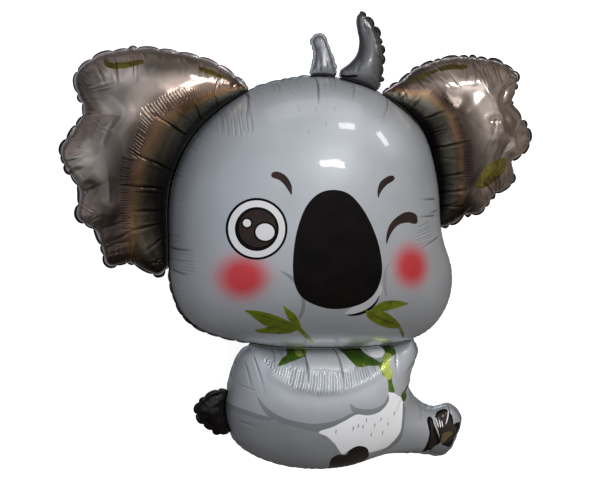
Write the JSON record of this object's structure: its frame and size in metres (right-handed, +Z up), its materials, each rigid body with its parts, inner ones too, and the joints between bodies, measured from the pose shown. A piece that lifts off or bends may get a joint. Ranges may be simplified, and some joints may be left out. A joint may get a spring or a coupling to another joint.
{
  "type": "animal foil balloon",
  "caption": "Filled foil balloon shaped like a seated koala with large wavy ears, lying on its back on the flattened backs of its head and body.",
  "frame": {"origin": "centre of the box round the balloon, at the level of the surface it lies on", "axes": "+X to the viewer's right across the ears, +Y from the feet to the top of the head, +Z up out of the face"},
  "size_m": [0.6912, 0.677, 0.2515],
  "materials": {
    "foil": "printed metallised film with a mirror gloss"
  },
  "bodies": {
    "root": {"foil_balloon": "foil"}
  },
  "joints": []
}
